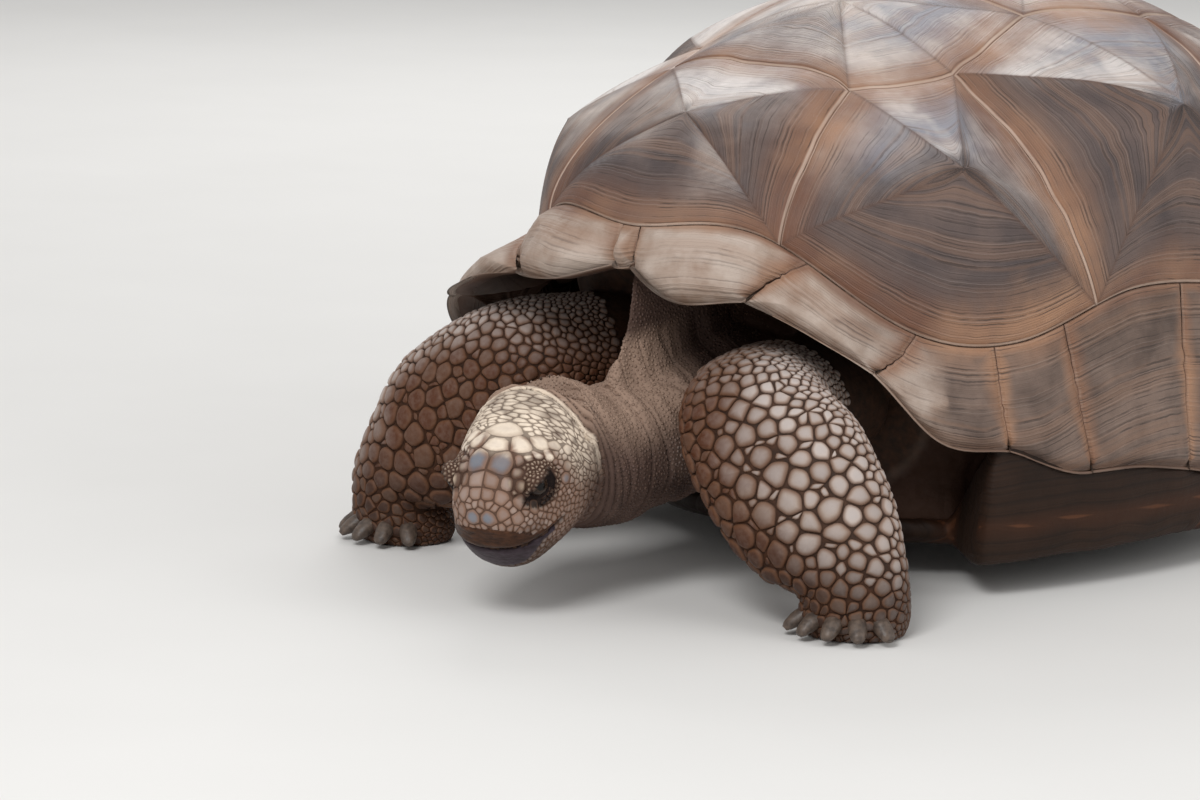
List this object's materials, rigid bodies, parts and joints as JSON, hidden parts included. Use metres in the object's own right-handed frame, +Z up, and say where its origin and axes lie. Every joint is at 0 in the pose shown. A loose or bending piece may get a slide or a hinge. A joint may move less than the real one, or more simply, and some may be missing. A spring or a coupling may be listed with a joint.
{
  "type": "giant tortoise",
  "caption": "Full-grown giant tortoise standing low with its neck stretched out and its head down to graze.",
  "frame": {"origin": "on the floor, at the middle of the footprint of the whole animal", "axes": "+Z up, the animal faces -Y, and its left side is towards +X"},
  "size_m": [0.8028, 1.367, 0.6463],
  "materials": {
    "scute": "dull grey-brown horn with growth rings",
    "plastron": "worn dark brown horn",
    "skin": "dry, wrinkled and scaly",
    "beak": "worn horn",
    "eye": "wet and dark"
  },
  "bodies": {
    "root": {"vertebral_1": "scute", "vertebral_2": "scute", "vertebral_3": "scute", "vertebral_4": "scute", "vertebral_5": "scute", "costal_left_1": "scute", "costal_right_1": "scute", "costal_left_2": "scute", "costal_right_2": "scute", "costal_left_3": "scute", "costal_right_3": "scute", "costal_left_4": "scute", "costal_right_4": "scute", "marginal_left_1": "scute", "marginal_right_1": "scute", "marginal_left_2": "scute", "marginal_right_2": "scute", "marginal_left_3": "scute", "marginal_right_3": "scute", "marginal_left_4": "scute", "marginal_right_4": "scute", "marginal_left_5": "scute", "marginal_right_5": "scute", "marginal_left_6": "scute", "marginal_right_6": "scute", "marginal_left_7": "scute", "marginal_right_7": "scute", "marginal_left_8": "scute", "marginal_right_8": "scute", "marginal_left_9": "scute", "marginal_right_9": "scute", "marginal_left_10": "scute", "marginal_right_10": "scute", "marginal_left_11": "scute", "marginal_right_11": "scute", "nuchal": "scute", "supracaudal": "scute", "plastron": "plastron", "leg_front_left": "skin", "foot_front_left": "skin", "leg_front_right": "skin", "foot_front_right": "skin", "leg_hind_left": "skin", "foot_hind_left": "skin", "leg_hind_right": "skin", "foot_hind_right": "skin", "head": "skin", "jaw": "skin", "beak_upper": "beak", "beak_lower": "beak", "eye_left": "eye", "eye_right": "eye", "neck": "skin", "tail": "skin", "trunk": "skin"}
  },
  "joints": []
}
